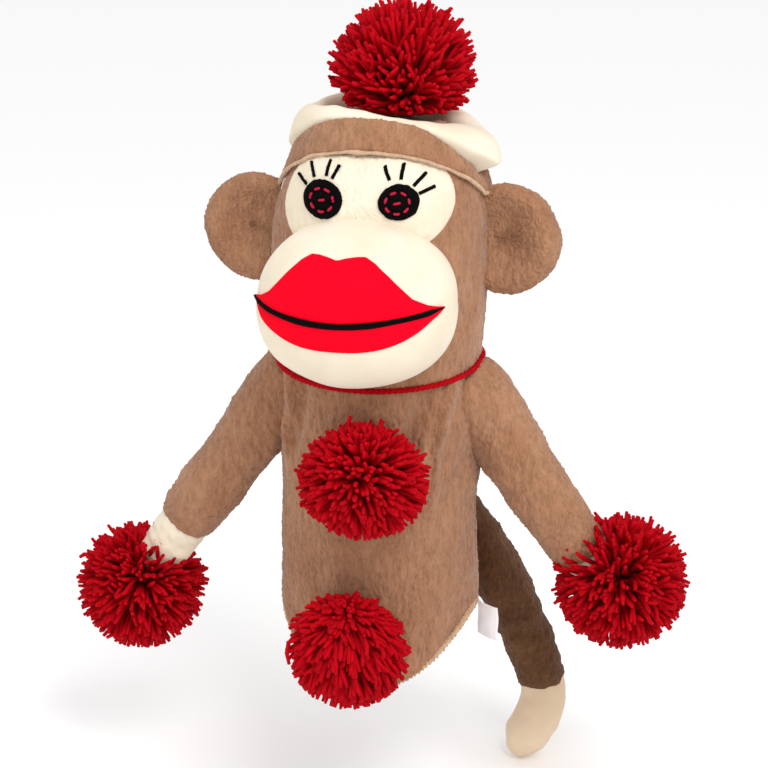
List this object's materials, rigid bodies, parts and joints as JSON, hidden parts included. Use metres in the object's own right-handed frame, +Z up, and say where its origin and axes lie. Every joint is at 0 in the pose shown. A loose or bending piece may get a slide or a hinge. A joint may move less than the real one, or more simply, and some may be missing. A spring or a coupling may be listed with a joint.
{
  "type": "monkey glove puppet",
  "caption": "Plush monkey glove puppet: open fabric sleeve, stuffed head with a padded muzzle, finger arms, tail, hat and red yarn pompoms.",
  "frame": {"origin": "centre of the hand opening, level with the lowest point of the hem", "axes": "+Z up through the head, the puppet looks along -Y, its own left side is +X"},
  "size_m": [0.298, 0.147, 0.3832],
  "materials": {
    "brown_plush": "short-pile heathered plush",
    "tail_plush": "short-pile plush, darker",
    "cream_fleece": "smooth short fleece",
    "red_yarn": "worsted yarn",
    "red_felt": "smooth felt",
    "black_thread": "satin stitch and felt",
    "red_thread": "satin stitch",
    "beige_thread": "overlock stitch",
    "label_satin": "woven satin tape",
    "white_fill": "polyester stuffing",
    "pocket_lining": "plain lining cloth"
  },
  "bodies": {
    "torso": {"torso_front_panel": "brown_plush", "torso_back_panel": "brown_plush", "hem_overlock": "beige_thread", "chest_pompom": "red_yarn", "chest_pompom_tie": "red_yarn", "belly_pompom": "red_yarn", "belly_pompom_tie": "red_yarn"},
    "label": {"side_label": "label_satin"},
    "neck": {"neck_cord": "red_yarn", "neck_cord_knot": "red_yarn"},
    "head": {"head_front_panel": "brown_plush", "head_back_panel": "brown_plush", "head_stuffing": "white_fill", "finger_pocket": "pocket_lining", "eye_patch": "cream_fleece", "muzzle_cover": "cream_fleece", "muzzle_stuffing": "white_fill", "upper_lip": "red_felt", "lower_lip": "red_felt", "mouth_stitch": "black_thread", "hat_brim": "brown_plush", "hat_roll": "cream_fleece", "hat_crown": "brown_plush", "left_eye": "black_thread", "left_eye_stitch_ring": "red_thread", "left_eye_centre_stitch": "red_thread", "left_lash_1": "black_thread", "left_lash_2": "black_thread", "left_lash_3": "black_thread", "left_lash_4": "black_thread", "right_eye": "black_thread", "right_eye_stitch_ring": "red_thread", "right_eye_centre_stitch": "red_thread", "right_lash_1": "black_thread", "right_lash_2": "black_thread", "right_lash_3": "black_thread", "right_lash_4": "black_thread"},
    "hat_ball": {"hat_pompom": "red_yarn", "hat_pompom_tie": "red_yarn"},
    "tail": {"tail_cover": "tail_plush", "tail_stuffing": "white_fill"},
    "tail_end": {"tail_tip_cover": "cream_fleece", "tail_tip_stuffing": "white_fill"},
    "left_ear": {"left_ear_front": "brown_plush", "left_ear_back": "brown_plush"},
    "left_arm": {"left_sleeve_front": "brown_plush", "left_sleeve_back": "brown_plush"},
    "left_paw": {"left_hand": "cream_fleece", "left_hand_pompom": "red_yarn", "left_hand_pompom_tie": "red_yarn"},
    "right_ear": {"right_ear_front": "brown_plush", "right_ear_back": "brown_plush"},
    "right_arm": {"right_sleeve_front": "brown_plush", "right_sleeve_back": "brown_plush"},
    "right_paw": {"right_hand": "cream_fleece", "right_hand_pompom": "red_yarn", "right_hand_pompom_tie": "red_yarn"}
  },
  "joints": [
    {"name": "neck_nod", "type": "hinge", "parent": "torso", "child": "neck", "pos_m": [0, 0, 0.15], "axis": [1, 0, 0], "range_deg": [-20, 7], "stiffness_Nm_per_rad": 0.6},
    {"name": "head_turn", "type": "hinge", "parent": "neck", "child": "head", "pos_m": [0, 0, 0.15], "axis": [0, 0, 1], "range_deg": [-35, 35], "stiffness_Nm_per_rad": 0.2},
    {"name": "hat_pompom_nod", "type": "hinge", "parent": "head", "child": "hat_ball", "pos_m": [0.0085, 0.009, 0.2558], "axis": [1, 0, 0], "range_deg": [-12, 12], "stiffness_Nm_per_rad": 0.1},
    {"name": "tail_swing", "type": "hinge", "parent": "torso", "child": "tail", "pos_m": [0.006, 0.0415, 0.076], "axis": [0, 1, 0], "range_deg": [-35, 30], "stiffness_Nm_per_rad": 0.15},
    {"name": "tail_tip_bend", "type": "hinge", "parent": "tail", "child": "tail_end", "pos_m": [0.065, 0.0505, -0.031], "axis": [0, 1, 0], "range_deg": [-25, 25], "stiffness_Nm_per_rad": 0.02},
    {"name": "label_flap", "type": "hinge", "parent": "torso", "child": "label", "pos_m": [0.0476, -0.0015, 0.026], "axis": [0, 0, 1], "range_deg": [-40, 40], "stiffness_Nm_per_rad": 0.001},
    {"name": "left_shoulder_raise", "type": "hinge", "parent": "torso", "child": "left_arm", "pos_m": [0.047, 0, 0.128], "axis": [0, 1, 0], "range_deg": [-70, 4], "stiffness_Nm_per_rad": 0.3},
    {"name": "left_wrist_bend", "type": "hinge", "parent": "left_arm", "child": "left_paw", "pos_m": [0.0952, 0, 0.06043], "axis": [0, 1, 0], "range_deg": [-14, 18], "stiffness_Nm_per_rad": 0.1},
    {"name": "left_ear_flop", "type": "hinge", "parent": "head", "child": "left_ear", "pos_m": [0.0515, 0, 0.205], "axis": [0, 0, 1], "range_deg": [-20, 20], "stiffness_Nm_per_rad": 0.02},
    {"name": "right_shoulder_raise", "type": "hinge", "parent": "torso", "child": "right_arm", "pos_m": [-0.047, 0, 0.128], "axis": [0, 1, 0], "range_deg": [-4, 70], "stiffness_Nm_per_rad": 0.3},
    {"name": "right_wrist_bend", "type": "hinge", "parent": "right_arm", "child": "right_paw", "pos_m": [-0.0952, 0, 0.06043], "axis": [0, 1, 0], "range_deg": [-30, 40], "stiffness_Nm_per_rad": 0.1},
    {"name": "right_ear_flop", "type": "hinge", "parent": "head", "child": "right_ear", "pos_m": [-0.0515, 0, 0.205], "axis": [0, 0, 1], "range_deg": [-20, 20], "stiffness_Nm_per_rad": 0.02}
  ]
}
